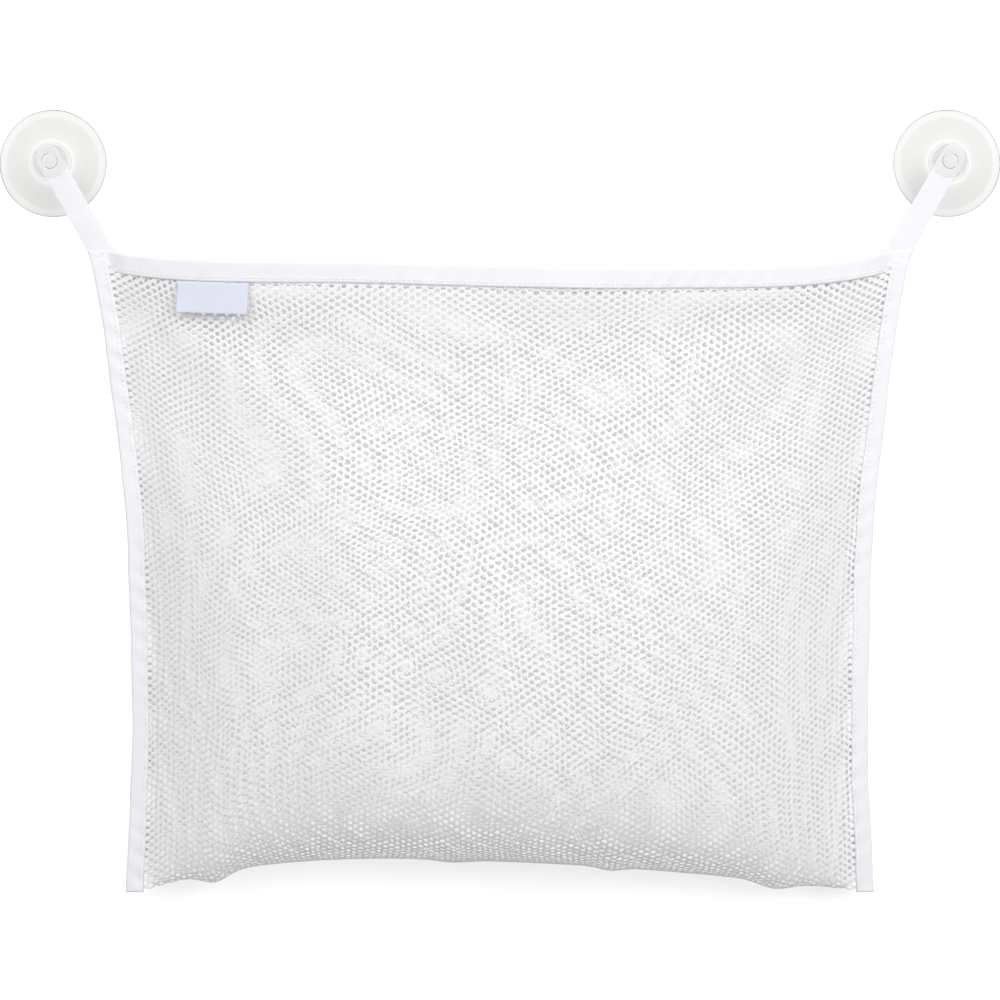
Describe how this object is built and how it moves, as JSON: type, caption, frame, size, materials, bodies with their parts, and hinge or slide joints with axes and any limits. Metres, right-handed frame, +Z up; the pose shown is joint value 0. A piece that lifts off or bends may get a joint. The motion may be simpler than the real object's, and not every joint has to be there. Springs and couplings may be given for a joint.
{
  "type": "bath toy organizer",
  "caption": "Wide white net bag with taped edges and an open top, hung on a bathroom wall by clear suction cups on tape straps, to hold and drain bath toys.",
  "frame": {"origin": "on the wall plane, midway between the two suction cups, at the height of their axes", "axes": "+X to the right as seen from the room, +Y into the wall, +Z up; the front of the bag faces -Y"},
  "size_m": [0.56, 0.0864, 0.436],
  "materials": {
    "clear_vinyl": "clear soft vinyl, glossy",
    "white_net": "white warp-knitted polyester net",
    "white_tape": "white woven binding tape",
    "white_thread": "white spun sewing thread",
    "blue_label": "pale blue satin label, blank"
  },
  "bodies": {
    "strap_eyes": {"left_strap_eye": "white_tape", "right_strap_eye": "white_tape"},
    "left_cup": {"left_suction_cup": "clear_vinyl"},
    "right_cup": {"right_suction_cup": "clear_vinyl"},
    "bag": {"left_strap": "white_tape", "right_strap": "white_tape", "left_eye_tack": "white_thread", "right_eye_tack": "white_thread", "left_corner_tack": "white_thread", "right_corner_tack": "white_thread", "left_side_tape": "white_tape", "right_side_tape": "white_tape", "left_side_front_thread": "white_thread", "left_side_back_thread": "white_thread", "right_side_front_thread": "white_thread", "right_side_back_thread": "white_thread", "front_hem": "white_tape", "back_hem": "white_tape", "front_hem_outer_thread": "white_thread", "front_hem_inner_thread": "white_thread", "back_hem_outer_thread": "white_thread", "back_hem_inner_thread": "white_thread", "front_net": "white_net", "back_net": "white_net"},
    "label_tag": {"label": "blue_label"}
  },
  "joints": [
    {"name": "left_cup_spin", "type": "hinge", "parent": "strap_eyes", "child": "left_cup", "pos_m": [-0.25, 0, 0], "axis": [0, -1, 0], "continuous": true},
    {"name": "right_cup_spin", "type": "hinge", "parent": "strap_eyes", "child": "right_cup", "pos_m": [0.25, 0, 0], "axis": [0, -1, 0], "continuous": true},
    {"name": "bag_swing", "type": "hinge", "parent": "strap_eyes", "child": "bag", "pos_m": [0, -0.0137, -0.013], "axis": [-1, 0, 0], "range_deg": [0, 80]},
    {"name": "label_flap", "type": "hinge", "parent": "bag", "child": "label_tag", "pos_m": [-0.15742, -0.03247, -0.06809], "axis": [-0.9759, 0.2131, 0.0473], "range_deg": [0, 100]}
  ]
}
